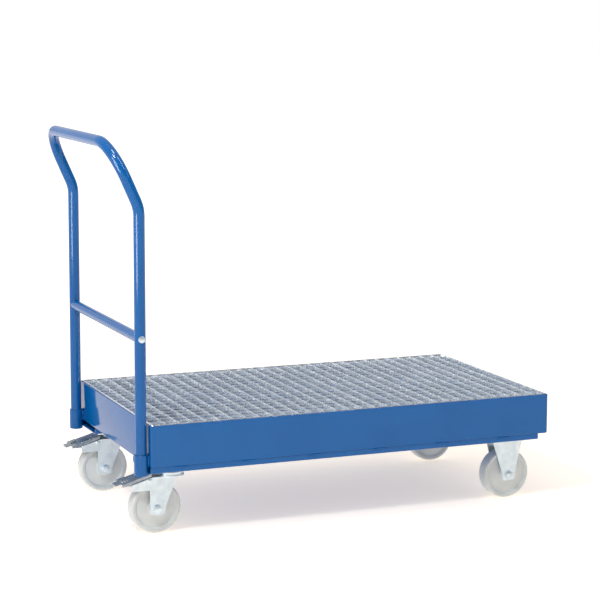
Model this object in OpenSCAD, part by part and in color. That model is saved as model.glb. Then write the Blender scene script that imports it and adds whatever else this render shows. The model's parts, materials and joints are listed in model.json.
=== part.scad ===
// Platform truck with an oil-tight tray, a lay-in grating, a plug-in push bow,
// two braked swivel castors at the handle end and two fixed castors at the front.
// Millimetres. +X runs from the handle to the front, +Y to the left, +Z up, floor at z = 0.

/* [Tray] */
// Outside length of the tray
tray_l = 1050; // [840:10:1300]
// Outside width of the tray
tray_w = 600; // [480:10:760]
// Height of the tray from its underside to its rim
tray_h = 100; // [80:5:140]
// Thickness of the tray's sheet steel
tray_sheet = 2.5; // [2:0.5:4]
// Outside radius of the tray's upright corners
tray_corner_r = 4; // [3:0.5:8]

/* [Grating] */
// Height of the bearing bars and of the border
grating_h = 30; // [20:5:40]
// Nominal distance from bar to bar
grating_mesh = 34; // [28:1:45]
// Thickness of a bearing bar
bearing_bar_t = 2; // [2:0.5:3]
// Height of a cross bar, let into the top of the bearing bars
cross_bar_h = 10; // [6:1:14]
// Thickness of a cross bar
cross_bar_t = 2; // [1.5:0.5:3]
// Thickness of the border
border_t = 3; // [2:0.5:4]
// Gap all round between the grating and the tray's wall
grating_gap = 2; // [1:0.5:5]
// How far the grating stands above the rim
grating_proud = 2; // [0:0.5:6]
// Width of each leg of the angles that carry the grating
ledge_w = 25; // [20:1:35]
// Thickness of the angles that carry the grating
ledge_t = 3; // [2:0.5:5]
// Width of the lengthwise channel under the middle of the grating
support_w = 40; // [30:1:60]
// Sheet thickness of that channel
support_t = 3; // [2:0.5:4]

/* [Castor rails] */
// Width of a rail, across the truck
rail_w = 137; // [130:1:160]
// Height of a rail
rail_h = 15; // [13:1:30]
// Sheet thickness of a rail
rail_sheet = 3; // [2.5:0.5:5]
// Outside radius of a rail's folded edges
rail_fold_r = 5; // [4:0.5:8]
// How far a rail stays back from the tray's side
rail_recess = 3; // [1:0.5:6]
// How far a rail stops short of the tray's front end
rail_end_gap = 25; // [5:1:50]

/* [Push bow] */
// Outside diameter of the bow's tube
tube_d = 26.9; // [22:0.1:32]
// Wall of the bow's tube
tube_wall = 2; // [1.5:0.1:3]
// Distance from the tray's side to the axis of an upright
upright_inset = 22.5; // [20:0.5:60]
// Height of the top bar's axis above the floor
bow_h = 935; // [800:5:1150]
// How far the top bar's axis leans out past the uprights
bow_reach = 67; // [40:1:110]
// Lean of the upper part from the vertical, in degrees
bow_lean = 24; // [15:1:35]
// Radius at the tube's axis where the uprights start to lean
bend_r = 90; // [60:5:110]
// Radius at the tube's axis of the two top corners
corner_r = 90; // [60:5:110]
// Height of the cross tube's axis above the floor
cross_tube_z = 480; // [400:5:600]
// How much thinner the cross tube is than the bow's tube
cross_tube_less = 1.9; // [0.5:0.1:6]
// Diameter of the cross tube's screws
cross_screw_d = 8; // [6:1:10]

/* [Sockets] */
// Wall of a socket
socket_wall = 3.3; // [2.5:0.1:5]
// Length of a socket
socket_l = 50; // [40:1:90]
// How far a socket hangs below the tray
socket_drop = 20; // [5:1:25]
// Thickness of the floor that the tube stands on
socket_floor = 3; // [2:0.5:6]
// Radial clearance between the tube and its socket
socket_clear = 0.1; // [0.05:0.05:0.3]

/* [Castors] */
// Wheel diameter
wheel_d = 125; // [100:1:160]
// Height of a castor's head, from the top of its wheel to the top of its plate
head_h = 35; // [35:1:60]
// Width of the wheel at its tread
tread_w = 38; // [30:1:39]
// Width of the wheel over its hub
hub_w = 50; // [48:1:56]
// Diameter of the axle bolt
axle_d = 12; // [10:1:14]
// Length of the castor plate, along the truck
plate_l = 85; // [80:1:100]
// Width of the castor plate, across the truck
plate_w = 105; // [100:1:120]
// Thickness of the castor plate
plate_t = 3.5; // [3:0.5:5]
// Distance between plate bolts along the truck
plate_bolt_x = 60; // [56:1:66]
// Distance between plate bolts across the truck
plate_bolt_y = 80; // [78:1:86]
// Diameter of the plate bolts
plate_bolt_d = 8; // [6:1:8]
// Thickness of the fork's sheet steel
fork_sheet = 3; // [2.5:0.5:4]
// Distance from the swivel axis to the wheel's axle
trail = 41; // [38:1:46]
// Distance from the tray's handle end to the swivel axes
swivel_inset = 75; // [60:1:140]
// Distance from the tray's front end to the fixed wheels' axles
fixed_inset = 79; // [60:1:140]
// Distance from the tray's side to a castor's middle
castor_side_inset = 83; // [75:1:95]

/* [Brakes] */
// How far the pedal's pin is below the top of the fork's crown
pedal_pin_drop = 9.5; // [8:0.5:10]
// Distance of the pedal's pin behind the axle
pedal_pin_back = 19; // [15:1:22]
// Diameter of the pedal's pin
pedal_pin_d = 8; // [6:1:9]
// Distance of the pedal's outer end behind the axle
pedal_end = 87; // [82:1:95]
// How far the pedal's tongue stands out past its end
pedal_tongue = 14; // [8:1:18]
// Slope of the pedal at rest, in degrees
pedal_slope = 15.5; // [14:0.5:18]
// Travel of the pedal, in degrees
pedal_travel = 10; // [6:1:11]
// Sheet thickness of the pedal
pedal_sheet = 2.5; // [2:0.5:3]

/* [Hidden] */
$fn = 48;

PAINT = [0.12, 0.36, 0.62];
ZINC = [0.80, 0.82, 0.84];
NYLON = [0.88, 0.88, 0.84];
STEEL = [0.62, 0.64, 0.66];
BLACK = [0.12, 0.12, 0.13];

// Sides: the pusher stands at -X and looks along +X, so the right side is -Y.
RIGHT = -1;
LEFT = 1;

// A cut starts and ends this far outside what it cuts
cut = 1;
// Gap that lets one piece move past another
run_gap = 0.5;
// Radial clearance of a running fit
run_fit = 0.05;

// Tray and grating
castor_h = wheel_d + head_h;
tray_z = castor_h + rail_h;
rim_z = tray_z + tray_h;
inner_l = tray_l - 2 * tray_sheet;
inner_w = tray_w - 2 * tray_sheet;
grating_l = inner_l - 2 * grating_gap;
grating_w = inner_w - 2 * grating_gap;
grating_top = rim_z + grating_proud;
grating_z = grating_top - grating_h;
mesh_l = grating_l - 2 * border_t;
mesh_w = grating_w - 2 * border_t;
cells_l = round((mesh_l + border_t) / grating_mesh);
cells_w = round((mesh_w + border_t) / grating_mesh);
pitch_l = (mesh_l + border_t) / cells_l;
pitch_w = (mesh_w + border_t) / cells_w;

// Bow and sockets
bow_w = tray_w - 2 * upright_inset;
cross_tube_d = tube_d - cross_tube_less;
tube_r = tube_d / 2;
socket_bore_r = tube_r + socket_clear;
socket_r = socket_bore_r + socket_wall;
socket_z = tray_z - socket_drop;
upright_x = -tray_l / 2 - socket_r;
upright_z = socket_z + socket_floor;
// A bend is this much thicker on both faces than the straights, which it takes in by the lap
bend_more = 0.1;
bend_lap = 1;
lean_l = (bow_reach - bend_r * (1 - cos(bow_lean))) / sin(bow_lean);
bend_z = bow_h - bend_r * sin(bow_lean) - lean_l * cos(bow_lean);
screw_head_r = 1.1 * cross_screw_d / cos(30) * 0.75;
screw_head_h = 0.5 * cross_screw_d;
screw_washer_t = 1.2;
plug_l = 14;

// The whole truck is moved along X so that its box is centred on the origin
back_x = upright_x - bow_reach - tube_r - bend_more;
place_x = -(back_x + tray_l / 2) / 2;

// Castors
wheel_r = wheel_d / 2;
axle_r = axle_d / 2;
swivel_x = -tray_l / 2 + swivel_inset;
fixed_x = tray_l / 2 - fixed_inset;
castor_y = tray_w / 2 - castor_side_inset;
rail_y = tray_w / 2 - rail_recess - rail_w / 2;
fork_in = hub_w / 2 + run_gap;
fork_out = fork_in + fork_sheet;
plate_z = castor_h - plate_t;
bolt_head_h = 0.66 * plate_bolt_d;
nut_h = 0.8 * plate_bolt_d;
hex_r = 0.94;
axle_head_h = 0.58 * axle_d;
axle_nut_h = 0.8 * axle_d;
sleeve_r = axle_r + 1.5;
roller_r = 1.45;
roller_pitch_r = sleeve_r + roller_r + run_fit;
hub_bore_r = roller_pitch_r + roller_r + run_fit;
roller_count = 12;
roller_l = hub_w - 10;

// Swivel head, from the plate down
upper_ball_r = 3;
upper_ball_pitch_r = 23.5;
upper_ball_z = castor_h - 12;
lower_ball_r = 2.5;
lower_ball_pitch_r = 14;
race_in_r = 17;
race_out_r = 30;
race_lip = 1;
crown_top = castor_h - 20.5;
crown_z = crown_top - fork_sheet;
crown_r = 33;
lower_ball_z = crown_z + race_lip - lower_ball_r;
washer_top = lower_ball_z - lower_ball_r + race_lip;
washer_t = 3.5;
washer_r = 19;
kingpin_r = 6;
kingpin_head_r = 10;
kingpin_head_h = 5.5;
upper_balls = 20;
lower_balls = 14;

// Fork outline, measured from the axle
crown_up = crown_top - wheel_r;
leg_r = 19;
leg_back = -leg_r;
leg_low = 14.5;
leg_round = 6;
skirt_z = crown_up - 31;
skirt_back = -62;
skirt_back_top = crown_up - 15;
crease_x = 15;
front_x = trail + 4;
front_z = crown_up - 17;
gusset_in = 6;
crown_back = crease_x - 7;

// Fixed fork outline, measured from the axle
fixed_leg_r = 17;
fixed_top_x = 40;
fixed_crease_x = 17;
fixed_gusset_in = 8;
fixed_up = plate_z - wheel_r;

// Brake, measured from the axle
pedal_pin_up = crown_up - pedal_pin_drop;
pedal_half_w = fork_in - run_gap;
pedal_wide = fork_out + run_gap;
pedal_wide_from = 3 - skirt_back;
tread_slots = 3;
tread_slot_w = 3;
tread_slot_step = 6;
pedal_top_up = crown_up + 9;
pedal_front = -12;
pedal_cheek_h = 20;
pedal_cheek_r = 7.5;
pedal_lip = 5;
shoe_back = -44;
shoe_front = -27;
shoe_half_w = 15;
shoe_edge_up = 4.24;
spring_wire_r = 0.7;
spring_turns = 5;
spring_r = pedal_pin_d / 2 + run_gap + spring_wire_r;

// ---- shared shapes ----

module place() {
    translate([place_x, 0, 0]) children();
}

module at_swivel(side) {
    place() translate([swivel_x, side * castor_y, 0]) children();
}

module at_swivel_axle(side) {
    at_swivel(side) translate([-trail, 0, wheel_r]) children();
}

module at_fixed_axle(side) {
    place() translate([fixed_x, side * castor_y, wheel_r]) children();
}

// Stands a shape drawn in X and Y up, so that it is drawn in X and Z and h thick along Y
module side_plate(h) {
    rotate([90, 0, 0]) translate([0, 0, -h / 2]) linear_extrude(h) children();
}

// A rod along Y, centred on the origin
module rod_y(r, l) {
    rotate([90, 0, 0]) cylinder(r = r, h = l, center = true);
}

module rounded_rect(l, w, r) {
    union() {
        square([l - 2 * r, w], center = true);
        square([l, w - 2 * r], center = true);
        for (x = [-1, 1]) for (y = [-1, 1]) translate([x * (l / 2 - r), y * (w / 2 - r)]) circle(r);
    }
}

module slot(l, w) {
    union() {
        square([l - w, w], center = true);
        for (x = [-1, 1]) translate([x * (l - w) / 2, 0]) circle(w / 2);
    }
}

module at_plate_bolts() {
    for (x = [-1, 1]) for (y = [-1, 1])
        translate([x * plate_bolt_x / 2, y * plate_bolt_y / 2, 0]) children();
}

// Places a child at the middle of all four castor plates, on the floor
module at_castors() {
    place() for (x = [swivel_x, fixed_x]) for (side = [RIGHT, LEFT])
        translate([x, side * castor_y, 0]) children();
}

module ball_ring(count, pitch_r, z, r) {
    for (k = [0 : count - 1])
        rotate([0, 0, 360 * k / count]) translate([pitch_r, 0, z]) sphere(r);
}

module ball_groove(pitch_r, z, r) {
    translate([0, 0, z]) rotate_extrude() translate([pitch_r, 0]) circle(r + run_fit);
}

module ring(r_out, r_in, z0, z1) {
    translate([0, 0, z0]) difference() {
        cylinder(r = r_out, h = z1 - z0);
        translate([0, 0, -cut]) cylinder(r = r_in, h = z1 - z0 + 2 * cut);
    }
}

// ---- tray and grating ----

module tray() {
    color(PAINT) place() translate([0, 0, tray_z]) difference() {
        linear_extrude(tray_h) rounded_rect(tray_l, tray_w, tray_corner_r);
        translate([0, 0, tray_sheet]) linear_extrude(tray_h)
            rounded_rect(inner_l, inner_w, tray_corner_r - tray_sheet);
    }
}

// An angle along X of length l: its flat leg carries the grating, its corner is on the wall at +Y
module ledge(l) {
    rotate([90, 0, 90]) translate([0, 0, -l / 2]) linear_extrude(l) union() {
        translate([-ledge_w, -ledge_t]) square([ledge_w, ledge_t]);
        translate([-ledge_t, -ledge_w]) square([ledge_t, ledge_w]);
    }
}

module grating_ledges() {
    color(PAINT) place() translate([0, 0, grating_z]) {
        for (turn = [0, 180]) rotate([0, 0, turn]) {
            translate([0, inner_w / 2, 0]) ledge(inner_l - 2 * tray_corner_r);
            rotate([0, 0, 90]) translate([0, inner_l / 2, 0]) ledge(inner_w - 2 * ledge_w - 2 * ledge_t);
        }
    }
}

// Folded channel on its flanges under the middle of the grating, with drain gaps at its foot
module grating_support() {
    l = inner_l - 2 * ledge_w - 2 * ledge_t;
    h = grating_z - tray_z - tray_sheet;
    drain_w = 60;
    drain_h = 15;
    color(PAINT) place() translate([0, 0, tray_z + tray_sheet]) difference() {
        translate([-l / 2, -support_w / 2, 0]) cube([l, support_w, h]);
        translate([-l / 2 - cut, -support_w / 2 + support_t, -cut])
            cube([l + 2 * cut, support_w - 2 * support_t, h - support_t + cut]);
        for (x = [-0.25, 0.25]) translate([x * l - drain_w / 2, -support_w / 2 - cut, -cut])
            cube([drain_w, support_w + 2 * cut, drain_h + cut]);
    }
}

module grating_border() {
    color(ZINC) place() translate([0, 0, grating_z]) difference() {
        translate([-grating_l / 2, -grating_w / 2, 0]) cube([grating_l, grating_w, grating_h]);
        translate([-mesh_l / 2, -mesh_w / 2, -cut]) cube([mesh_l, mesh_w, grating_h + 2 * cut]);
    }
}

// Place of cross bar k across the truck, counted from the right
function cross_bar_y(k) = -(mesh_w + border_t) / 2 + k * pitch_w;

// Outline of a bearing bar, drawn along the truck's width and up, notched for the cross bars
function notched_bar() = concat(
    [[mesh_w / 2, 0], [-mesh_w / 2, 0], [-mesh_w / 2, grating_h]],
    [for (k = [1 : cells_w - 1]) for (p = [[-1, 0], [-1, 1], [1, 1], [1, 0]])
        [cross_bar_y(k) + p[0] * cross_bar_t / 2, grating_h - p[1] * cross_bar_h]],
    [[mesh_w / 2, grating_h]]
);

module grating_bearing_bars() {
    color(ZINC) place() translate([0, 0, grating_z]) for (k = [1 : cells_l - 1])
        translate([-(mesh_l + border_t) / 2 + k * pitch_l - bearing_bar_t / 2, 0, 0])
            rotate([90, 0, 90]) linear_extrude(bearing_bar_t) polygon(notched_bar());
}

module grating_cross_bars() {
    color(ZINC) place() translate([0, 0, grating_top - cross_bar_h]) for (k = [1 : cells_w - 1])
        translate([-mesh_l / 2, cross_bar_y(k) - cross_bar_t / 2, 0])
            cube([mesh_l, cross_bar_t, cross_bar_h]);
}

// ---- castor rails ----

// Cross-section of a rail, drawn across the truck and up: a flat channel with its flanges up
module rail_section() {
    in_r = rail_fold_r - rail_sheet;
    difference() {
        union() {
            translate([-rail_w / 2, rail_fold_r]) square([rail_w, rail_h - rail_fold_r]);
            translate([-rail_w / 2 + rail_fold_r, 0]) square([rail_w - 2 * rail_fold_r, rail_h]);
            for (s = [-1, 1]) translate([s * (rail_w / 2 - rail_fold_r), rail_fold_r]) circle(rail_fold_r);
        }
        translate([-rail_w / 2 + rail_sheet, rail_fold_r]) square([rail_w - 2 * rail_sheet, rail_h]);
        translate([-rail_w / 2 + rail_fold_r, rail_sheet]) square([rail_w - 2 * rail_fold_r, rail_h]);
        for (s = [-1, 1]) translate([s * (rail_w / 2 - rail_fold_r), rail_fold_r]) circle(in_r);
    }
}

module castor_rail(side) {
    l = tray_l - rail_end_gap;
    color(PAINT) difference() {
        place() translate([-tray_l / 2, side * rail_y, castor_h]) rotate([90, 0, 90])
            linear_extrude(l) rail_section();
        at_castors() at_plate_bolts() translate([0, 0, castor_h - cut])
            cylinder(r = plate_bolt_d / 2 + run_gap, h = rail_sheet + 2 * cut);
    }
}

module plate_bolts() {
    color(ZINC) at_castors() at_plate_bolts() union() {
        translate([0, 0, plate_z - bolt_head_h]) cylinder(r = hex_r * plate_bolt_d, h = bolt_head_h, $fn = 6);
        translate([0, 0, plate_z]) cylinder(r = plate_bolt_d / 2, h = plate_t + rail_sheet + nut_h + cut);
    }
}

module plate_nuts() {
    color(ZINC) at_castors() at_plate_bolts() translate([0, 0, castor_h + rail_sheet]) difference() {
        cylinder(r = hex_r * plate_bolt_d, h = nut_h, $fn = 6);
        translate([0, 0, -cut]) cylinder(r = plate_bolt_d / 2, h = nut_h + 2 * cut);
    }
}

// ---- sockets and push bow ----

module handle_socket(side) {
    chamfer = 2;
    color(PAINT) place() translate([upright_x, side * bow_w / 2, socket_z]) rotate_extrude()
        polygon([
            [0, 0], [socket_r - chamfer, 0], [socket_r, chamfer], [socket_r, socket_l],
            [socket_bore_r, socket_l], [socket_bore_r, socket_floor], [0, socket_floor]
        ]);
}

// Section of the bow's tube, thicker by more on its outer and inner face
module tube_section(more = 0) {
    difference() {
        circle(tube_r + more);
        circle(tube_r - tube_wall - more);
    }
}

// A bend of the bow's tube about the Z axis, from +X through the angle; its ends take in the straights
module tube_bend(bend_radius, angle) {
    rotate_extrude(angle = angle) translate([bend_radius, 0]) tube_section(bend_more);
}

// Straight tube of length l from the origin upwards, which reaches a little into the bends at its ends
module tube_straight(l, low = bend_lap, high = bend_lap) {
    translate([0, 0, -low]) linear_extrude(l + low + high) tube_section();
}

// The upper part of the bow in its own leaning plane: from the lean bends up to the top bar
module bow_top() {
    arm_y = bow_w / 2;
    arm_l = lean_l - corner_r;
    union() {
        for (s = [-1, 1]) translate([0, s * arm_y, 0]) tube_straight(arm_l);
        for (s = [-1, 1]) translate([0, s * (arm_y - corner_r), arm_l]) rotate([0, -90, 0])
            rotate([0, 0, s > 0 ? 0 : 270]) tube_bend(corner_r, 90);
        translate([0, corner_r - arm_y, lean_l]) rotate([-90, 0, 0]) tube_straight(2 * (arm_y - corner_r));
    }
}

// Holes through the outer and inner walls of both uprights for the cross tube's screws
module cross_screw_line(r) {
    translate([upright_x, 0, cross_tube_z]) rod_y(r, bow_w + 2 * tube_d);
}

module push_bow() {
    color(PAINT) place() difference() {
        translate([upright_x, 0, 0]) union() {
            for (s = [-1, 1]) translate([0, s * bow_w / 2, 0]) {
                translate([0, 0, upright_z]) tube_straight(bend_z - upright_z, low = 0);
                translate([-bend_r, 0, bend_z]) rotate([90, 0, 0]) tube_bend(bend_r, bow_lean);
            }
            translate([-bend_r, 0, bend_z]) rotate([0, -bow_lean, 0]) translate([bend_r, 0, 0]) bow_top();
        }
        cross_screw_line(cross_screw_d / 2);
    }
}

module cross_tube() {
    color(PAINT) place() difference() {
        translate([upright_x, 0, cross_tube_z]) rod_y(cross_tube_d / 2, bow_w);
        translate([upright_x, 0, cross_tube_z]) rod_y(cross_tube_d / 2 - tube_wall, bow_w + 2 * cut);
        for (s = [-1, 1]) translate([upright_x, s * bow_w / 2, 0]) cylinder(r = tube_r, h = bow_h);
    }
}

// Threaded plugs pressed into the ends of the cross tube
module cross_tube_plugs() {
    plug_y = bow_w / 2 - tube_r - 2;
    color(STEEL) place() for (s = [-1, 1]) translate([upright_x, s * (plug_y - plug_l / 2), cross_tube_z])
        difference() {
            rod_y(cross_tube_d / 2 - tube_wall, plug_l);
            rod_y(cross_screw_d / 2, plug_l + 2 * cut);
        }
}

module cross_tube_screws() {
    seat_y = bow_w / 2 + tube_r + screw_washer_t;
    shank_l = screw_washer_t + tube_d + plug_l;
    color(ZINC) place() for (s = [-1, 1]) translate([upright_x, s * seat_y, cross_tube_z])
        rotate([-s * 90, 0, 0]) union() {
            cylinder(r = screw_head_r, h = screw_head_h, $fn = 6);
            translate([0, 0, -shank_l]) cylinder(r = cross_screw_d / 2, h = shank_l);
        }
}

// Washers curved on their inner face to sit on the tube
module cross_tube_washers() {
    washer_outer_r = cross_screw_d;
    washer_deep = 3;
    color(ZINC) place() difference() {
        for (s = [-1, 1]) translate([upright_x, s * (bow_w / 2 + tube_r + screw_washer_t), cross_tube_z])
            rotate([s * 90, 0, 0]) cylinder(r = washer_outer_r, h = washer_deep + screw_washer_t);
        cross_screw_line(cross_screw_d / 2);
        for (s = [-1, 1]) translate([upright_x, s * bow_w / 2, 0]) cylinder(r = tube_r, h = bow_h);
    }
}

// ---- castor plate and swivel head ----

module castor_plate() {
    hole_w = plate_bolt_d + 1;
    hole_l = hole_w + 3;
    translate([0, 0, plate_z]) linear_extrude(plate_t) difference() {
        rounded_rect(plate_l, plate_w, 8);
        at_plate_bolts() rotate([0, 0, 90]) slot(hole_l, hole_w);
    }
}

module swivel_plate(side) {
    color(ZINC) at_swivel(side) difference() {
        union() {
            castor_plate();
            ring(race_out_r, race_in_r, upper_ball_z + race_lip, plate_z + cut);
        }
        ball_groove(upper_ball_pitch_r, upper_ball_z, upper_ball_r);
        translate([0, 0, plate_z - cut]) cylinder(r = kingpin_r, h = plate_t + 2 * cut);
    }
}

module swivel_kingpin(side) {
    head_z = washer_top - washer_t - kingpin_head_h;
    color(ZINC) at_swivel(side) union() {
        translate([0, 0, head_z]) cylinder(r = kingpin_head_r, h = kingpin_head_h);
        translate([0, 0, head_z]) cylinder(r = kingpin_r, h = castor_h - head_z);
    }
}

module swivel_race(side) {
    color(ZINC) at_swivel(side) difference() {
        ring(washer_r, kingpin_r, washer_top - washer_t, washer_top);
        ball_groove(lower_ball_pitch_r, lower_ball_z, lower_ball_r);
    }
}

module swivel_balls(side) {
    color(STEEL) at_swivel(side) {
        ball_ring(upper_balls, upper_ball_pitch_r, upper_ball_z, upper_ball_r);
        ball_ring(lower_balls, lower_ball_pitch_r, lower_ball_z, lower_ball_r);
    }
}

// ---- swivel fork ----

// Foot of a fork's leg below the axle: a flat end with two rounded corners
module leg_foot(half_w) {
    corner_x = half_w - leg_round;
    corner_z = leg_round - leg_low;
    union() {
        polygon([[-half_w, 0], [-half_w, corner_z], [half_w, corner_z], [half_w, 0]]);
        polygon([
            [-corner_x, corner_z], [-corner_x, -leg_low], [corner_x, -leg_low], [corner_x, corner_z]
        ]);
        for (s = [-1, 1]) translate([s * corner_x, corner_z]) circle(leg_round);
    }
}

// Outline of a leg of the swivel fork, drawn in X and Z from the axle
module swivel_leg_outline() {
    union() {
        leg_foot(leg_r);
        polygon([
            [leg_back, 0], [leg_back, skirt_z], [skirt_back, skirt_z], [skirt_back, skirt_back_top],
            [pedal_front, crown_up], [front_x, crown_up], [front_x, front_z], [leg_r, 0]
        ]);
    }
}

// Plan of a bent leg: flat up to the crease, then turned in towards the wheel
module leg_plan(back, crease, front, turn_in) {
    polygon([
        [back, fork_in], [crease, fork_in], [front, fork_in - turn_in],
        [front, fork_out - turn_in], [crease, fork_out], [back, fork_out]
    ]);
}

module swivel_legs() {
    for (s = [0, 1]) mirror([0, s, 0]) intersection() {
        translate([0, 0, -2 * leg_r]) linear_extrude(crown_up + 2 * leg_r)
            leg_plan(skirt_back, crease_x, front_x, gusset_in);
        side_plate(3 * fork_out) swivel_leg_outline();
    }
}

module swivel_fork(side) {
    color(ZINC) at_swivel(side) difference() {
        union() {
            translate([-trail, 0, wheel_r]) swivel_legs();
            translate([0, 0, crown_z]) linear_extrude(fork_sheet) union() {
                circle(crown_r);
                translate([-trail, 0]) polygon([
                    [crown_back, -fork_out], [crease_x, -fork_out],
                    [front_x, gusset_in - fork_out], [front_x, fork_out - gusset_in],
                    [crease_x, fork_out], [crown_back, fork_out]
                ]);
            }
            ring(race_out_r, race_in_r, crown_top - cut, upper_ball_z - race_lip);
        }
        ball_groove(upper_ball_pitch_r, upper_ball_z, upper_ball_r);
        ball_groove(lower_ball_pitch_r, lower_ball_z, lower_ball_r);
        translate([0, 0, crown_z - cut]) cylinder(r = kingpin_r + 2, h = fork_sheet + 2 * cut);
        translate([-trail, 0, wheel_r]) rod_y(axle_r, 3 * fork_out);
        translate([-trail - pedal_pin_back, 0, wheel_r + pedal_pin_up]) rod_y(pedal_pin_d / 2, 3 * fork_out);
    }
}

// ---- axle, wheel and rollers, drawn from the axle ----

module axle_bolt() {
    color(ZINC) union() {
        translate([0, -fork_out - axle_head_h / 2, 0]) rotate([90, 0, 0])
            cylinder(r = hex_r * axle_d * 0.9, h = axle_head_h, center = true, $fn = 6);
        translate([0, (axle_nut_h + cut) / 2, 0]) rod_y(axle_r, 2 * fork_out + axle_nut_h + cut);
    }
}

module axle_nut() {
    color(ZINC) translate([0, fork_out + axle_nut_h / 2, 0]) difference() {
        rotate([90, 0, 0]) cylinder(r = hex_r * axle_d * 0.9, h = axle_nut_h, center = true, $fn = 6);
        rod_y(axle_r, axle_nut_h + 2 * cut);
    }
}

module axle_sleeve() {
    color(STEEL) difference() {
        rod_y(sleeve_r, 2 * fork_in);
        rod_y(axle_r, 2 * fork_in + 2 * cut);
    }
}

// Half of the wheel's section: distance from the axle, then distance from the middle
function wheel_half() = [
    [hub_bore_r, hub_w / 2], [hub_bore_r + 7, hub_w / 2], [hub_bore_r + 9, hub_w / 2 - 2],
    [hub_bore_r + 11, tread_w * 0.40], [wheel_r - 13, tread_w * 0.36], [wheel_r - 9.5, tread_w * 0.46],
    [wheel_r - 4.5, tread_w * 0.5], [wheel_r - 1.5, tread_w * 0.45], [wheel_r - 0.4, tread_w * 0.37],
    [wheel_r, tread_w * 0.26]
];

module wheel() {
    half = wheel_half();
    last = len(half) - 1;
    lower = [for (k = [0 : last]) [half[last - k][0], -half[last - k][1]]];
    color(NYLON) rotate([90, 0, 0]) rotate_extrude($fn = 96) polygon(concat(half, lower));
}

module rollers() {
    color(STEEL) for (k = [0 : roller_count - 1])
        rotate([0, 360 * k / roller_count, 0]) translate([roller_pitch_r, 0, 0]) rod_y(roller_r, roller_l);
}

// ---- brake, drawn from the axle ----

module at_pedal_pin() {
    translate([-pedal_pin_back, 0, pedal_pin_up]) children();
}

// Height of the pedal's top face at the distance x behind or before the axle
function pedal_top(x) = pedal_top_up + (x - pedal_front) * tan(pedal_slope);

// Outline of the pedal's cheeks, which hold the pin and reach up into its top sheet
module pedal_cheek_outline() {
    into_sheet = pedal_sheet / 2;
    union() {
        polygon([
            [pedal_front - 1, pedal_top(pedal_front - 1) - into_sheet],
            [1 - pedal_end, pedal_top(1 - pedal_end) - into_sheet],
            [1 - pedal_end, pedal_top(1 - pedal_end) - pedal_sheet - pedal_lip],
            [-pedal_pin_back - 3 * pedal_cheek_r, pedal_top(-pedal_pin_back) - pedal_cheek_h],
            [-pedal_pin_back, pedal_pin_up - pedal_cheek_r / 2], [pedal_front - 1, pedal_pin_up]
        ]);
        translate([-pedal_pin_back, pedal_pin_up]) circle(pedal_cheek_r);
    }
}

// Distance along the sloping sheet from its front edge to the distance x behind the axle
function along_pedal(x) = (pedal_front + x) / cos(pedal_slope);

// Top sheet of the pedal, drawn flat from its front edge: narrow in the fork, wide outside it, then a tongue
module pedal_top_sheet() {
    wide_at = -along_pedal(pedal_wide_from);
    end_at = -along_pedal(pedal_end);
    tip_at = end_at - pedal_tongue;
    tongue_half_w = pedal_wide / 2;
    tread_at = wide_at - 5;
    translate([0, 0, -pedal_sheet]) linear_extrude(pedal_sheet) difference() {
        polygon([
            [0, -pedal_half_w], [wide_at, -pedal_half_w], [wide_at, -pedal_wide], [end_at, -pedal_wide],
            [end_at, -tongue_half_w], [tip_at, -tongue_half_w], [tip_at, tongue_half_w],
            [end_at, tongue_half_w], [end_at, pedal_wide], [wide_at, pedal_wide],
            [wide_at, pedal_half_w], [0, pedal_half_w]
        ]);
        for (k = [0 : tread_slots - 1]) translate([tread_at - k * tread_slot_step, 0])
            square([tread_slot_w, pedal_half_w], center = true);
    }
}

module brake_pedal(side) {
    cheek_in = 0.3;
    color(ZINC) at_swivel_axle(side) difference() {
        union() {
            translate([pedal_front, 0, pedal_top_up]) rotate([0, -pedal_slope, 0]) pedal_top_sheet();
            for (s = [-1, 1]) translate([0, s * (pedal_half_w - cheek_in - pedal_sheet / 2), 0])
                side_plate(pedal_sheet) pedal_cheek_outline();
        }
        at_pedal_pin() rod_y(pedal_pin_d / 2 + run_fit, 3 * fork_out);
    }
}

// Rubber-faced block under the pedal; its face matches the wheel when the pedal is down
module brake_shoe(side) {
    under_sheet = pedal_sheet / cos(pedal_slope) + 0.02;
    shoe_low = sqrt(wheel_r ^ 2 - shoe_back ^ 2) + shoe_edge_up;
    color(BLACK) at_swivel_axle(side) difference() {
        side_plate(2 * shoe_half_w) polygon([
            [shoe_front, pedal_top(shoe_front) - under_sheet], [shoe_back, pedal_top(shoe_back) - under_sheet],
            [shoe_back, shoe_low], [shoe_front, shoe_low]
        ]);
        at_pedal_pin() rotate([0, pedal_travel, 0]) translate([pedal_pin_back, 0, -pedal_pin_up])
            rod_y(wheel_r + run_gap, 3 * fork_out);
    }
}

module brake_pin(side) {
    head_h = 1.8;
    color(ZINC) at_swivel_axle(side) at_pedal_pin() union() {
        rod_y(pedal_pin_d / 2, 2 * fork_out);
        for (s = [-1, 1]) translate([0, s * (fork_out + head_h / 2), 0])
            rod_y(pedal_pin_d * 0.75, head_h);
    }
}

// Return spring round the pin, drawn as closed turns
module brake_spring(side) {
    step = 2 * spring_wire_r + 0.4;
    color(STEEL) at_swivel_axle(side) at_pedal_pin() rotate([90, 0, 0])
        for (k = [0 : spring_turns - 1]) translate([0, 0, (k - (spring_turns - 1) / 2) * step])
            rotate_extrude() translate([spring_r, 0]) circle(spring_wire_r);
}

// ---- fixed fork ----

module fixed_leg_outline() {
    union() {
        leg_foot(fixed_leg_r);
        polygon([
            [-fixed_leg_r, 0], [-fixed_top_x, fixed_up - 12], [-fixed_top_x, fixed_up],
            [fixed_top_x, fixed_up], [fixed_top_x, fixed_up - 12], [fixed_leg_r, 0]
        ]);
    }
}

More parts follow.
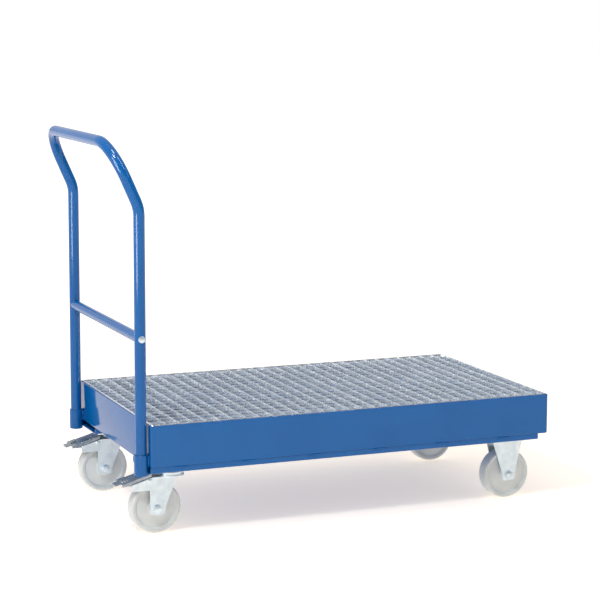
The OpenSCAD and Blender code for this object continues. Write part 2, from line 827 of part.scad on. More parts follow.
// Plan of a leg with a flat middle and both edges turned in
module fixed_leg_plan() {
    union() {
        leg_plan(-fixed_crease_x, fixed_crease_x, fixed_top_x, fixed_gusset_in);
        mirror([1, 0, 0]) leg_plan(-fixed_crease_x, fixed_crease_x, fixed_top_x, fixed_gusset_in);
    }
}

module fixed_fork(side) {
    color(ZINC) at_fixed_axle(side) difference() {
        union() {
            for (s = [0, 1]) mirror([0, s, 0]) intersection() {
                translate([0, 0, -2 * fixed_leg_r]) linear_extrude(fixed_up + 2 * fixed_leg_r)
                    fixed_leg_plan();
                side_plate(3 * fork_out) fixed_leg_outline();
            }
            translate([-fixed_top_x, -fork_out + fixed_gusset_in, fixed_up - fork_sheet])
                cube([2 * fixed_top_x, 2 * (fork_out - fixed_gusset_in), fork_sheet + cut]);
            translate([-fixed_crease_x, -fork_out, fixed_up - fork_sheet])
                cube([2 * fixed_crease_x, 2 * fork_out, fork_sheet + cut]);
            translate([0, 0, -wheel_r]) castor_plate();
        }
        rod_y(axle_r, 3 * fork_out);
    }
}

// ---- the truck ----

tray();
grating_ledges();
grating_support();
grating_border();
grating_bearing_bars();
grating_cross_bars();
castor_rail(RIGHT);  // castor_rail_right
castor_rail(LEFT);  // castor_rail_left
handle_socket(RIGHT);  // handle_socket_right
handle_socket(LEFT);  // handle_socket_left
push_bow();
cross_tube();
cross_tube_plugs();
cross_tube_screws();
cross_tube_washers();
plate_bolts();
plate_nuts();
swivel_plate(RIGHT);  // swivel_plate_right
swivel_plate(LEFT);  // swivel_plate_left
swivel_kingpin(RIGHT);  // swivel_kingpin_right
swivel_kingpin(LEFT);  // swivel_kingpin_left
swivel_race(RIGHT);  // swivel_race_right
swivel_race(LEFT);  // swivel_race_left
swivel_balls(RIGHT);  // swivel_balls_right
swivel_balls(LEFT);  // swivel_balls_left
swivel_fork(RIGHT);  // swivel_fork_right
swivel_fork(LEFT);  // swivel_fork_left
at_swivel_axle(RIGHT) axle_bolt();  // swivel_axle_bolt_right
at_swivel_axle(LEFT) axle_bolt();  // swivel_axle_bolt_left
at_swivel_axle(RIGHT) axle_nut();  // swivel_axle_nut_right
at_swivel_axle(LEFT) axle_nut();  // swivel_axle_nut_left
at_swivel_axle(RIGHT) axle_sleeve();  // swivel_axle_sleeve_right
at_swivel_axle(LEFT) axle_sleeve();  // swivel_axle_sleeve_left
at_swivel_axle(RIGHT) wheel();  // swivel_wheel_right
at_swivel_axle(LEFT) wheel();  // swivel_wheel_left
at_swivel_axle(RIGHT) rollers();  // swivel_rollers_right
at_swivel_axle(LEFT) rollers();  // swivel_rollers_left
brake_pedal(RIGHT);  // brake_pedal_right
brake_pedal(LEFT);  // brake_pedal_left
brake_shoe(RIGHT);  // brake_shoe_right
brake_shoe(LEFT);  // brake_shoe_left
brake_pin(RIGHT);  // brake_pin_right
brake_pin(LEFT);  // brake_pin_left
brake_spring(RIGHT);  // brake_spring_right
brake_spring(LEFT);  // brake_spring_left
fixed_fork(RIGHT);  // fixed_fork_right
fixed_fork(LEFT);  // fixed_fork_left
for (side = [RIGHT, LEFT]) at_fixed_axle(side) axle_bolt();  // fixed_axle_bolts
for (side = [RIGHT, LEFT]) at_fixed_axle(side) axle_nut();  // fixed_axle_nuts
for (side = [RIGHT, LEFT]) at_fixed_axle(side) axle_sleeve();  // fixed_axle_sleeves
at_fixed_axle(RIGHT) wheel();  // fixed_wheel_right
at_fixed_axle(LEFT) wheel();  // fixed_wheel_left
at_fixed_axle(RIGHT) rollers();  // fixed_rollers_right
at_fixed_axle(LEFT) rollers();  // fixed_rollers_left
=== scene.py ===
# %% [markdown]
# # A platform truck with a spill tray
# The truck is a sheet-steel tray on four castors, with a lay-in grating as its load deck and a plug-in
# push bow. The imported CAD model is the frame: it says where everything is and what moves. This lesson
# only makes the looks: smoother meshes, finishes, light and a camera. Everything is in metres.

# %% Load the frame
import json
import math

import bmesh
import bpy
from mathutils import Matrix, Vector


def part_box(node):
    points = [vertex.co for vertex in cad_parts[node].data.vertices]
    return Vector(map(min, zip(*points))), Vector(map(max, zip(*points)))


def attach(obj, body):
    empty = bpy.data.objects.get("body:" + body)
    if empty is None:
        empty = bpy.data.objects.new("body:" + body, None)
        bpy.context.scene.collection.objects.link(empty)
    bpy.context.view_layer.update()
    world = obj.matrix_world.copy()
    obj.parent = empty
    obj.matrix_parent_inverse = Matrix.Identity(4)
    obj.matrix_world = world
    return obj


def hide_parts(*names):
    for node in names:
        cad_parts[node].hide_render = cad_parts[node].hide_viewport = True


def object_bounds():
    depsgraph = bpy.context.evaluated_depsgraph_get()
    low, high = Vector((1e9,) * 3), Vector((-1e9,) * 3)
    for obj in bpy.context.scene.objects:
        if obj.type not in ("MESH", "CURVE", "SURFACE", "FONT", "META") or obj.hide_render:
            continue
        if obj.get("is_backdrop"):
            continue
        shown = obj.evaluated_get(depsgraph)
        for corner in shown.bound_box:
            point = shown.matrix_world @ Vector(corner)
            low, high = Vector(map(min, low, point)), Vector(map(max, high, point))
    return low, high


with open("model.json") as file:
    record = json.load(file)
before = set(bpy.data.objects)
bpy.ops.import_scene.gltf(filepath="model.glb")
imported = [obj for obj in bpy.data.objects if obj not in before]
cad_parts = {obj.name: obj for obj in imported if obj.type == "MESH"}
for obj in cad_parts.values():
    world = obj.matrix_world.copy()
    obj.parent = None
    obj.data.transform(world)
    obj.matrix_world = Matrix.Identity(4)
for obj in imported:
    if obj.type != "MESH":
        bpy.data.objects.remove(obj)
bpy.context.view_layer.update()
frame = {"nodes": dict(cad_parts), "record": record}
MM = 0.001
RIGHT, LEFT = -1, 1
SIDES = {"right": RIGHT, "left": LEFT}

# %% [markdown]
# ## One way to write nodes
# Materials and Geometry Nodes are both trees of nodes. One helper adds a node, sets its properties and
# fills its sockets, either with a value or with the output of another node, so that a tree reads from
# top to bottom like a recipe.

# %% Node and colour helpers
def add(tree, kind, inputs=None, **settings):
    """Adds a node: settings are its properties, inputs are socket values or the outputs that feed them."""
    node = tree.nodes.new(kind)
    for name, value in settings.items():
        setattr(node, name, value)
    for name, value in (inputs or {}).items():
        if isinstance(value, bpy.types.NodeSocket):
            tree.links.new(value, node.inputs[name])
        else:
            node.inputs[name].default_value = value
    return node


def linear(hex_colour):
    """Turns an sRGB hex colour into the linear RGBA that shaders use."""
    levels = [int(hex_colour[k:k + 2], 16) / 255 for k in (1, 3, 5)]
    return tuple(v / 12.92 if v <= 0.04045 else ((v + 0.055) / 1.055) ** 2.4 for v in levels) + (1.0,)


def per_metre(size_mm):
    """Scale of a texture whose features are this many millimetres apart."""
    return 1 / (size_mm * MM)


MIX_A, MIX_B, MIX_RESULT = 6, 7, 2


def blend_colours(tree, factor, first, second):
    """Mixes two hex colours by a factor that comes from a texture."""
    mix = add(tree, "ShaderNodeMix", {0: factor, MIX_A: linear(first), MIX_B: linear(second)},
              data_type="RGBA")
    return mix.outputs[MIX_RESULT]


def spread(tree, value, low, high, start=0.3, stop=0.7):
    """Stretches the middle of a noise to run from low to high."""
    ranged = add(tree, "ShaderNodeMapRange", {"Value": value, "From Min": start, "From Max": stop,
                                              "To Min": low, "To Max": high})
    return ranged.outputs["Result"]


def material(name, pattern):
    """Makes a material: pattern(tree, place) gives the shader's socket values."""
    made = bpy.data.materials.new(name)
    made.use_nodes = True
    tree = made.node_tree
    tree.nodes.clear()
    place = add(tree, "ShaderNodeTexCoord").outputs["Object"]
    shader = add(tree, "ShaderNodeBsdfPrincipled", pattern(tree, place))
    add(tree, "ShaderNodeOutputMaterial", {"Surface": shader.outputs["BSDF"]})
    print("finish:", name, "from", len(tree.nodes), "nodes")
    return made


def noise(tree, place, size_mm, detail=2.0):
    """A cloudy pattern with features of this size."""
    settings = {"Vector": place, "Scale": per_metre(size_mm), "Detail": detail}
    return add(tree, "ShaderNodeTexNoise", settings).outputs["Fac"]


def relief(tree, height, depth_mm):
    """Turns a pattern into small bumps of this depth."""
    settings = {"Height": height, "Distance": depth_mm * MM, "Strength": 1.0}
    return add(tree, "ShaderNodeBump", settings).outputs["Normal"]

# %% [markdown]
# ## Blue gloss powder coat
# Tray, rails, sockets and bow are powder coated: plastic powder melted onto the steel in an oven. The
# eye sees a clear blue with a wet gloss, a faint orange peel of ripples a few millimetres wide, and a
# tone that drifts slightly where the coat is thicker. A dielectric shader with low roughness gives the
# gloss, and at a low angle the panel mirrors the bright room, as enamel does. The specular level is under
# its default of 0.5, because a stronger mirror image of white walls would wash the blue out.

# %% Powder coat
def powder_coat(tree, place):
    tone = spread(tree, noise(tree, place, 140), 0, 1)
    peel = noise(tree, place, 4.5, detail=1.0)
    return {
        "Base Color": blend_colours(tree, tone, "#04599E", "#085FA4"),
        "Roughness": spread(tree, noise(tree, place, 30), 0.06, 0.10),
        "IOR": 1.5,
        "Specular IOR Level": 0.32,
        "Normal": relief(tree, peel, 0.012),
    }


BLUE = material("blue_gloss_powder_coat", powder_coat)

# %% [markdown]
# ## Hot-dip galvanised steel
# The grating is dipped in molten zinc after it is pressed together. The zinc freezes in crystals, the
# spangle, about a centimetre wide, each of which mirrors the light at its own angle, and the dipping
# leaves a slightly lumpy skin. Voronoi cells give the crystals: a cell's random colour sets its tone
# and its roughness. The metallic value is a little under 1 for the pale film that grows on zinc.

# %% Galvanised steel
def galvanised(tree, place):
    spangle = add(tree, "ShaderNodeTexVoronoi", {"Vector": place, "Scale": per_metre(9.0)})
    crystal = spangle.outputs["Color"]
    lumps = noise(tree, place, 2.5, detail=3.0)
    return {
        "Base Color": blend_colours(tree, spread(tree, crystal, 0, 1, 0.2, 0.8), "#E3EBF4", "#F1F6FB"),
        "Metallic": 0.85,
        "Roughness": spread(tree, crystal, 0.22, 0.30, 0.2, 0.8),
        "Normal": relief(tree, lumps, 0.02),
    }


GALVANISED = material("hot_dip_galvanised_steel", galvanised)

# %% [markdown]
# ## Bright zinc plating
# Castor forks, plates, pedals and fasteners are electroplated with zinc and passivated. The skin is
# thin and even, so the pressed steel under it shows: silvery white with a cool tint, soft reflections
# and a fine rolled grain. It is drawn coarser than the real grain, which would be too fine to see.

# %% Zinc plating
def zinc_plated(tree, place):
    cloud = spread(tree, noise(tree, place, 18, detail=3.0), 0, 1)
    grain = noise(tree, place, 0.8, detail=2.0)
    return {
        "Base Color": blend_colours(tree, cloud, "#C6D5DE", "#DBE7EE"),
        "Metallic": 0.85,
        "Roughness": spread(tree, noise(tree, place, 7), 0.30, 0.42),
        "Normal": relief(tree, grain, 0.01),
    }


ZINC = material("bright_zinc_plate", zinc_plated)

# %% [markdown]
# ## Zinc with painted shade
# The brake pedals' zinc is painted a darker grey than the forks', as painted shade for the pedals' dark
# look under the tray. It is smoother than on the forks and fully metallic, so it mirrors the dark
# underside of the tray.

# %% Zinc with painted shade
def painted_shade_zinc(tree, place):
    shade_tone = spread(tree, noise(tree, place, 9, detail=3.0), 0, 1)
    return {
        # a darker grey than the forks' zinc: painted shade
        "Base Color": blend_colours(tree, shade_tone, "#87929C", "#9AA5AF"),
        "Metallic": 1.0,
        "Roughness": spread(tree, noise(tree, place, 5), 0.24, 0.32),
        "Normal": relief(tree, noise(tree, place, 6), 0.008),
    }


PEDAL_ZINC_PAINTED_SHADE = material("painted_shade_zinc_plate", painted_shade_zinc)

# %% [markdown]
# ## Moulded nylon
# The wheels are solid polyamide, moulded and left in its natural colour. The eye sees a milky
# off-white that light enters a few millimetres deep, a satin skin, and a tone that drifts a little from
# patch to patch. Subsurface scattering gives the milkiness.

# %% Nylon
def nylon(tree, place):
    age = spread(tree, noise(tree, place, 45, detail=3.0), 0, 1)
    return {
        "Base Color": blend_colours(tree, age, "#CDD3D4", "#D9DEDF"),
        "Roughness": spread(tree, noise(tree, place, 12), 0.34, 0.46),
        "IOR": 1.53,
        "Subsurface Weight": 0.25,
        "Subsurface Radius": (3.0 * MM, 2.6 * MM, 2.0 * MM),
        "Subsurface Scale": 1.0,
        "Normal": relief(tree, noise(tree, place, 1.5), 0.01),
    }


NYLON = material("natural_moulded_nylon", nylon)

# %% [markdown]
# ## Ground steel and rubber
# Balls, rollers, sleeves and springs are hardened steel, ground bright and oiled. The brake shoes are
# black rubber, moulded matt, with a fine pebbled skin.

# %% Steel and rubber
def ground_steel(tree, place):
    film = spread(tree, noise(tree, place, 6), 0, 1)
    return {
        "Base Color": blend_colours(tree, film, "#B9BDC1", "#D3D6D9"),
        "Metallic": 1.0,
        "Roughness": spread(tree, noise(tree, place, 2), 0.16, 0.26),
    }


def rubber(tree, place):
    bloom = spread(tree, noise(tree, place, 8), 0, 1)
    return {
        "Base Color": blend_colours(tree, bloom, "#161617", "#242425"),
        "Roughness": spread(tree, noise(tree, place, 3), 0.55, 0.75),
        "Normal": relief(tree, noise(tree, place, 0.9), 0.05),
    }


STEEL = material("ground_bearing_steel", ground_steel)
RUBBER = material("black_moulded_rubber", rubber)
FINISHES = {
    "blue_enamel": BLUE, "galvanised_steel": GALVANISED, "zinc_plated_steel": ZINC,
    "bright_steel": STEEL, "white_nylon": NYLON, "black_rubber": RUBBER,
}

# %% [markdown]
# ## Dressing the CAD nodes
# Shapes that are already right, such as balls, rollers and the angles under the grating, stay as the
# CAD made them and only get their finish. The record says which slot each node has.

# %% Give every CAD node its finish
for entry in frame["record"]["subparts"]:
    cad_mesh = frame["nodes"][entry["node"]].data
    cad_mesh.materials.clear()
    cad_mesh.materials.append(FINISHES[entry["material_slot"]])
print("dressed", len(frame["nodes"]), "CAD nodes")

# %% [markdown]
# ## Meshes from outlines
# Pressed, turned and folded parts are outlines moved through space. A corner list with radii gives an
# outline with true fillets, and lofting a row of rings makes the skin between them.

# %% Outline and loft helpers
SHARP_TURN = math.radians(35)


def rounded(corners, steps=4):
    """A path through 2-D corners (x, y, radius), each rounded by its radius."""
    path = []
    for k, (x, y, radius) in enumerate(corners):
        corner = Vector((x, y))
        if not radius:
            path.append(corner)
            continue
        before = (Vector(corners[k - 1][:2]) - corner).normalized()
        after = (Vector(corners[(k + 1) % len(corners)][:2]) - corner).normalized()
        half = before.angle(after) / 2
        centre = corner + (before + after).normalized() * radius / math.sin(half)
        reach = radius / math.tan(half)
        first = (corner + before * reach - centre).normalized()
        last = (corner + after * reach - centre).normalized()
        path += [centre + first.slerp(last, s / steps) * radius for s in range(steps + 1)]
    return path


def mesh_object(name, shape, finish):
    """Ends a bmesh: makes it an object with its normals outwards, smooth but for its sharp edges."""
    bmesh.ops.recalc_face_normals(shape, faces=shape.faces)
    mesh = bpy.data.meshes.new(name)
    shape.to_mesh(mesh)
    shape.free()
    mesh.materials.append(finish)
    shade(mesh)
    return linked(name, mesh)


def shade(mesh):
    """Shades a mesh smooth, except across edges that turn by more than SHARP_TURN."""
    mesh.shade_smooth()
    mesh.set_sharp_from_angle(angle=SHARP_TURN)


def linked(name, data):
    """Makes an object and puts it in the scene."""
    made = bpy.data.objects.new(name, data)
    bpy.context.scene.collection.objects.link(made)
    return made


def loft(name, rings, finish, loop=False):
    """Skins a row of rings with equal counts of points; its ends are capped, or joined in a loop."""
    shape = bmesh.new()
    rows = [[shape.verts.new(point) for point in ring] for ring in rings]
    pairs = list(zip(rows, rows[1:])) + ([(rows[-1], rows[0])] if loop else [])
    for low, high in pairs:
        for k in range(len(low)):
            n = (k + 1) % len(low)
            shape.faces.new((low[k], low[n], high[n], high[k]))
    if not loop:
        shape.faces.new(rows[0])
        shape.faces.new(rows[-1])
    return mesh_object(name, shape, finish)


def set_in(piece, body, slot, *nodes):
    """Sets a finished piece in the frame: its body and the CAD nodes that it stands for; slot is not used."""
    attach(piece, body)
    if nodes:
        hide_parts(*nodes)
    print(piece.name, "has", len(piece.data.polygons), "faces and rides on", body)
    return piece

# %% [markdown]
# ## Tray
# A real tray is one sheet, folded up at its four sides and welded at the corners, so its lower edges
# are soft folds and its rim is a bare sheet edge. Its section runs from the underside over the fold, up
# the wall, over the rim and down inside to the floor. The section is lofted round the tray's plan.

# %% Tray
SHEET = 2.5 * MM
TRAY_CORNER = 4 * MM
FOLD = 3.5 * MM
RIM_ROUND = 0.7 * MM


def plan_ring(half_l, half_w, radius, centre, z, steps=6):
    """Rounded rectangle round a centre at height z."""
    corners = [(half_l, half_w, radius), (-half_l, half_w, radius),
               (-half_l, -half_w, radius), (half_l, -half_w, radius)]
    return [(centre.x + p.x, centre.y + p.y, z) for p in rounded(corners, steps)]


tray_low, tray_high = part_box("tray")
tray_middle = (tray_low + tray_high) / 2
tray_section = rounded([
    (2 * FOLD, tray_low.z, 0), (0, tray_low.z, FOLD), (0, tray_high.z, RIM_ROUND),
    (SHEET, tray_high.z, RIM_ROUND), (SHEET, tray_low.z + SHEET, FOLD - SHEET),
    (2 * FOLD, tray_low.z + SHEET, 0),
])
tray_rings = [
    plan_ring((tray_high.x - tray_low.x) / 2 - inset, (tray_high.y - tray_low.y) / 2 - inset,
              max(TRAY_CORNER - inset, RIM_ROUND), tray_middle, z)
    for inset, z in tray_section
]
set_in(loft("tray_shell", tray_rings, BLUE), "chassis", "blue_enamel", "tray")

# %% [markdown]
# ## Softened copies of CAD nodes
# Rails, plates, forks and pedals are pressed from sheet: their shape is the CAD's, but a real sheet edge
# is never knife sharp, and the eye looks for the thin highlight along it. A CAD mesh is loose
# triangles, so a copy of it is merged and its flat faces are joined before a bevel rounds the edges.

# %% Softening helpers
MERGE_DISTANCE = 0.001 * MM
FLAT_TURN = math.radians(0.5)
EDGE_TURN = math.radians(30)
EDGE_STEPS = 2


def baked(made):
    """Turns an object and its modifiers into a plain mesh, and removes the modifiers."""
    evaluated = made.evaluated_get(bpy.context.evaluated_depsgraph_get())
    mesh = bpy.data.meshes.new_from_object(evaluated)
    made.modifiers.clear()
    made.data = mesh
    return made


def whole_mesh(node_name):
    """A copy of a CAD node's mesh as a bmesh, its loose triangles merged into whole faces."""
    shape = bmesh.new()
    shape.from_mesh(frame["nodes"][node_name].data)
    bmesh.ops.remove_doubles(shape, verts=shape.verts, dist=MERGE_DISTANCE)
    bmesh.ops.dissolve_limit(shape, angle_limit=FLAT_TURN, verts=shape.verts, edges=shape.edges)
    return shape


def softened(node_name, name, edge_mm, finish):
    """A copy of a CAD node with its sharp edges rounded by this much."""
    made = mesh_object(name, whole_mesh(node_name), finish)
    bevel = made.modifiers.new("edge", "BEVEL")
    bevel.width = edge_mm * MM
    bevel.segments = EDGE_STEPS
    bevel.limit_method = "ANGLE"
    bevel.angle_limit = EDGE_TURN
    bevel.harden_normals = True
    return baked(made)


def body_of(node_name):
    """Name of the CAD body that a node belongs to."""
    bodies = frame["record"]["behaviour"]["bodies"]
    return next(body for body, members in bodies.items() if node_name in members)


# %% Rails, plates, forks and pedals
SOFT_EDGES = {"castor_rail": (0.5, "blue_enamel"), "swivel_plate": (0.5, "zinc_plated_steel"),
              "swivel_fork": (0.6, "zinc_plated_steel"), "fixed_fork": (0.6, "zinc_plated_steel"),
              "brake_pedal": (0.5, "zinc_plated_steel"), "brake_shoe": (0.8, "black_rubber")}
for part, (edge_mm, slot) in SOFT_EDGES.items():
    for side in SIDES:
        cad_name = f"{part}_{side}"
        # the brake pedals take the zinc with painted shade
        finish = PEDAL_ZINC_PAINTED_SHADE if part == "brake_pedal" else FINISHES[slot]
        set_in(softened(cad_name, f"{cad_name}_soft", edge_mm, finish), body_of(cad_name), slot, cad_name)

# %% [markdown]
# ## Geometry Nodes: one tree for bent bars and tubes
# The push bow, the cross tube and the grating's border are each a profile that follows a line, bent or
# straight. The tree turns a row of points into a curve, gives its corners a true bend radius with Fillet
# Curve, and sweeps a rounded rectangle along it. A circle is a rounded rectangle whose corner radius is
# half its side, so the same tree makes tube and flat bar.

# %% Tree helpers
def new_tree(name, sockets):
    """A Geometry Nodes tree with geometry in and out and one named input for each size."""
    tree = bpy.data.node_groups.new(name, "GeometryNodeTree")
    tree.interface.new_socket("Geometry", in_out="INPUT", socket_type="NodeSocketGeometry")
    for label, kind in sockets.items():
        tree.interface.new_socket(label, in_out="INPUT", socket_type="NodeSocket" + kind)
    tree.interface.new_socket("Geometry", in_out="OUTPUT", socket_type="NodeSocketGeometry")
    return tree, add(tree, "NodeGroupInput").outputs


def close_tree(tree, geometry, finish):
    """Ends a tree: instances made real, then the material."""
    real = add(tree, "GeometryNodeRealizeInstances", {"Geometry": geometry})
    dressed = add(tree, "GeometryNodeSetMaterial", {"Geometry": real.outputs["Geometry"], "Material": finish})
    add(tree, "NodeGroupOutput", {"Geometry": dressed.outputs["Geometry"]})


def grown(name, tree, sizes, points=(), edges=(), directions=None):
    """Runs a tree on a few points and gives back the result as a plain mesh object."""
    seed_mesh = bpy.data.meshes.new(name + "_points")
    seed_mesh.from_pydata(list(points), list(edges), [])
    if directions:
        aim = seed_mesh.attributes.new("aim", "FLOAT_VECTOR", "POINT")
        aim.data.foreach_set("vector", [value for aimed in directions for value in aimed])
    made = linked(name, seed_mesh)
    modifier = made.modifiers.new("grow", "NODES")
    modifier.node_group = tree
    inputs = [item for item in tree.interface.items_tree if item.in_out == "INPUT"]
    identifiers = {item.name: item.identifier for item in inputs}
    for label, value in sizes.items():
        modifier[identifiers[label]] = value
    baked(made)
    shade(made.data)
    return made

# %% Tree: a profile along a bent line
bent, sizes_in = new_tree("bent bar", {
    "Width": "Float", "Height": "Float", "Round": "Float", "Round steps": "Int",
    "Bend radius": "Float", "Bend steps": "Int", "Finish": "Material"})
line = add(bent, "GeometryNodeMeshToCurve", {"Mesh": sizes_in["Geometry"]})
bends = add(bent, "GeometryNodeFilletCurve", {"Curve": line.outputs["Curve"], "Count": sizes_in["Bend steps"],
                                             "Radius": sizes_in["Bend radius"]}, mode="POLY")
box_profile = add(bent, "GeometryNodeCurvePrimitiveQuadrilateral",
                  {"Width": sizes_in["Width"], "Height": sizes_in["Height"]})
profile = add(bent, "GeometryNodeFilletCurve", {"Curve": box_profile.outputs["Curve"],
                                                "Count": sizes_in["Round steps"],
                                                "Radius": sizes_in["Round"]}, mode="POLY")
swept = add(bent, "GeometryNodeCurveToMesh", {"Curve": bends.outputs["Curve"],
                                              "Profile Curve": profile.outputs["Curve"], "Fill Caps": True})
close_tree(bent, swept.outputs["Mesh"], sizes_in["Finish"])


def bent_bar(name, finish, points, width, height, round_edge, bend, steps=12, round_steps=2, closed=False):
    """Sweeps a bar or a tube along points whose corners are bent to a radius."""
    edges = [(k, k + 1) for k in range(len(points) - 1)] + ([(len(points) - 1, 0)] if closed else [])
    sizes = {"Width": width, "Height": height, "Round": round_edge, "Round steps": round_steps,
             "Bend radius": bend, "Bend steps": steps, "Finish": finish}
    return grown(name, bent, sizes, points, edges)

# %% [markdown]
# ## Push bow
# The bow is one length of 26.9 mm tube, bent four times at the same radius: twice where the uprights
# start to lean out and twice at the top corners. Its ends are open and stand in the sockets.

# %% Push bow
TUBE_RADIUS = 13.45 * MM
TUBE_WALL = 2 * MM
BOW_LEAN = math.radians(24)
BEND_RADIUS = 90 * MM
BORE_SHOWN = 80 * MM
# a corner radius of exactly half the side would leave no straight between two corners
NEARLY_ROUND = 0.9999

bow_low, bow_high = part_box("push_bow")
cross_low, cross_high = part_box("cross_tube")
upright_x = (cross_low.x + cross_high.x) / 2
socket_low, socket_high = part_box("handle_socket_left")
arm_y = (socket_low.y + socket_high.y) / 2
bow_half = bow_high.x - upright_x
top_x = bow_low.x + bow_half
top_z = bow_high.z - bow_half
knee_z = top_z - (upright_x - top_x) / math.tan(BOW_LEAN)
half_bow = [(upright_x, bow_low.z), (upright_x, knee_z), (top_x, top_z)]
bow_points = [(x, RIGHT * arm_y, z) for x, z in half_bow] + [(x, LEFT * arm_y, z) for x, z in half_bow[::-1]]
bow = bent_bar("push_bow_tube", BLUE, bow_points, 2 * TUBE_RADIUS, 2 * TUBE_RADIUS,
               TUBE_RADIUS * NEARLY_ROUND, BEND_RADIUS, steps=16, round_steps=12)


def bore_ends(made, wall, depth):
    """Opens the capped ends of a swept tube to this depth."""
    shape = bmesh.new()
    shape.from_mesh(made.data)
    for cap in [face for face in shape.faces if len(face.verts) > 4]:
        bmesh.ops.inset_individual(shape, faces=[cap], thickness=wall)
        deep = bmesh.ops.extrude_discrete_faces(shape, faces=[cap])["faces"][0]
        bmesh.ops.translate(shape, vec=-deep.normal * depth, verts=deep.verts)
    shape.to_mesh(made.data)
    shape.free()
    shade(made.data)


bore_ends(bow, TUBE_WALL, BORE_SHOWN)
set_in(bow, "push_handle", "blue_enamel", "push_bow")

# %% [markdown]
# ## Cross tube
# A straight tube between the uprights stiffens the bow. Its ends are coped to fit round them; here they
# run just past the uprights' walls, out of sight.

# %% Cross tube
COPE_DEPTH = 3 * MM
cross_z = (cross_low.z + cross_high.z) / 2
cross_d = cross_high.z - cross_low.z
cross_points = [(upright_x, side * (arm_y - COPE_DEPTH), cross_z) for side in (RIGHT, LEFT)]
cross = bent_bar("cross_tube_round", BLUE, cross_points, cross_d, cross_d, cross_d / 2 * NEARLY_ROUND,
                 0.0, round_steps=10)
set_in(cross, "push_handle", "blue_enamel", "cross_tube")

# %% [markdown]
# ## Sockets
# Each socket is a turned cup, welded to the end panel, that the bow's foot stands in. A turned part is
# a profile spun about its axis, so its rings are circles.

# %% Turned parts
def turned(name, profile, centre, finish, axis="Z", count=64, loop=False):
    """Spins a profile of (radius, distance along the axis) about an axis through a centre."""
    rings = []
    for radius, along in profile:
        ring = []
        for k in range(count):
            a = 2 * math.pi * k / count
            across, up = radius * math.cos(a), radius * math.sin(a)
            offset = (across, up, along) if axis == "Z" else (across, along, up)
            ring.append(Vector(centre) + Vector(offset))
        rings.append(ring)
    return loft(name, rings, finish, loop)


SOCKET_FLOOR = 3 * MM
SOCKET_FIT = 0.1 * MM
FOOT_ROUND, LIP_OUT_ROUND, LIP_IN_ROUND = 2 * MM, 0.6 * MM, 0.5 * MM
# a spun profile starts this far from its axis, and a flat cap closes the gap
AXIS_GAP = 0.5 * MM
socket_r = (socket_high.x - socket_low.x) / 2
socket_bore = TUBE_RADIUS + SOCKET_FIT
socket_l = socket_high.z - socket_low.z
for side_name, side in SIDES.items():
    cup = rounded([(AXIS_GAP, 0, 0), (socket_r, 0, FOOT_ROUND), (socket_r, socket_l, LIP_OUT_ROUND),
                   (socket_bore, socket_l, LIP_IN_ROUND), (socket_bore, SOCKET_FLOOR, 0),
                   (AXIS_GAP, SOCKET_FLOOR, 0)])
    centre = (upright_x, side * arm_y, socket_low.z)
    piece = turned(f"handle_socket_{side_name}_cup", cup, centre, BLUE)
    set_in(piece, "chassis", "blue_enamel", f"handle_socket_{side_name}")

# %% [markdown]
# ## Wheels
# Each wheel is one nylon moulding: a hub boss, a dished web and a thick rim with a crowned tread. Half
# of the section is drawn with its fillets and mirrored, and the whole is spun about the axle.

# %% Wheels
def wheel_section(radius, width, tread, bore):
    """Half of the section, from the bore out to the tread: (radius, distance from the middle, fillet)."""
    return rounded([
        # the hub's chamfered bore and flat face
        (bore, width / 2 - 1 * MM, 0), (bore + 0.8 * MM, width / 2, 0.3 * MM),
        (bore + 8 * MM, width / 2, 1.2 * MM),
        # the dished web
        (bore + 10.5 * MM, tread * 0.40, 2.5 * MM), (radius - 14 * MM, tread * 0.355, 4 * MM),
        # the rim's side, with a fine groove round it
        (radius - 10.5 * MM, tread * 0.455, 1.2 * MM), (radius - 8.6 * MM, tread * 0.475, 0.3 * MM),
        (radius - 8.2 * MM, tread * 0.455, 0.3 * MM), (radius - 7.8 * MM, tread * 0.48, 0.3 * MM),
        # the shoulder and the crowned tread
        (radius - 3.2 * MM, tread * 0.5, 3 * MM), (radius - 0.3 * MM, tread * 0.36, 3 * MM),
        (radius, tread * 0.2, 0),
    ])


TREAD_WIDTH = 38 * MM
HUB_BORE = 10.5 * MM
for kind in ("swivel", "fixed"):
    for side_name in SIDES:
        wheel_name = f"{kind}_wheel_{side_name}"
        low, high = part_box(wheel_name)
        half = wheel_section((high.z - low.z) / 2, high.y - low.y, TREAD_WIDTH, HUB_BORE)
        section = [(p.x, p.y) for p in half] + [(p.x, -p.y) for p in reversed(half)]
        piece = turned(f"{wheel_name}_moulding", section, (low + high) / 2, NYLON, axis="Y", count=96,
                       loop=True)
        set_in(piece, wheel_name, "white_nylon", wheel_name)

# %% [markdown]
# ## Grating
# A pressed grating is two rows of flat bars that cross: deep bearing bars across the truck and shallow
# cross bars let into their tops, all inside a border strip. One tree makes a row of bars: it sweeps one
# bar, puts copies along a line and lets each sit a hair off true, as pressed bars do, so that they
# catch the light unevenly. A fixed seed keeps them the same in each run.

# %% Tree: a row of bars
rows, row_in = new_tree("row of bars", {
    "Length": "Float", "Height": "Float", "Thickness": "Float", "Round": "Float", "Pitch": "Float",
    "Count": "Int", "Uneven": "Float", "Tilt": "Float", "Seed": "Int", "Turn": "Vector", "Place": "Vector",
    "Finish": "Material"})
half_length = add(rows, "ShaderNodeMath", {0: row_in["Length"], 1: 0.5}, operation="MULTIPLY")
minus_half = add(rows, "ShaderNodeMath", {0: row_in["Length"], 1: -0.5}, operation="MULTIPLY")
bar_start = add(rows, "ShaderNodeCombineXYZ", {"X": minus_half.outputs["Value"]})
bar_end = add(rows, "ShaderNodeCombineXYZ", {"X": half_length.outputs["Value"]})
bar_line = add(rows, "GeometryNodeCurvePrimitiveLine", {"Start": bar_start.outputs["Vector"],
                                                        "End": bar_end.outputs["Vector"]})
bar_box = add(rows, "GeometryNodeCurvePrimitiveQuadrilateral", {"Width": row_in["Thickness"],
                                                                "Height": row_in["Height"]})
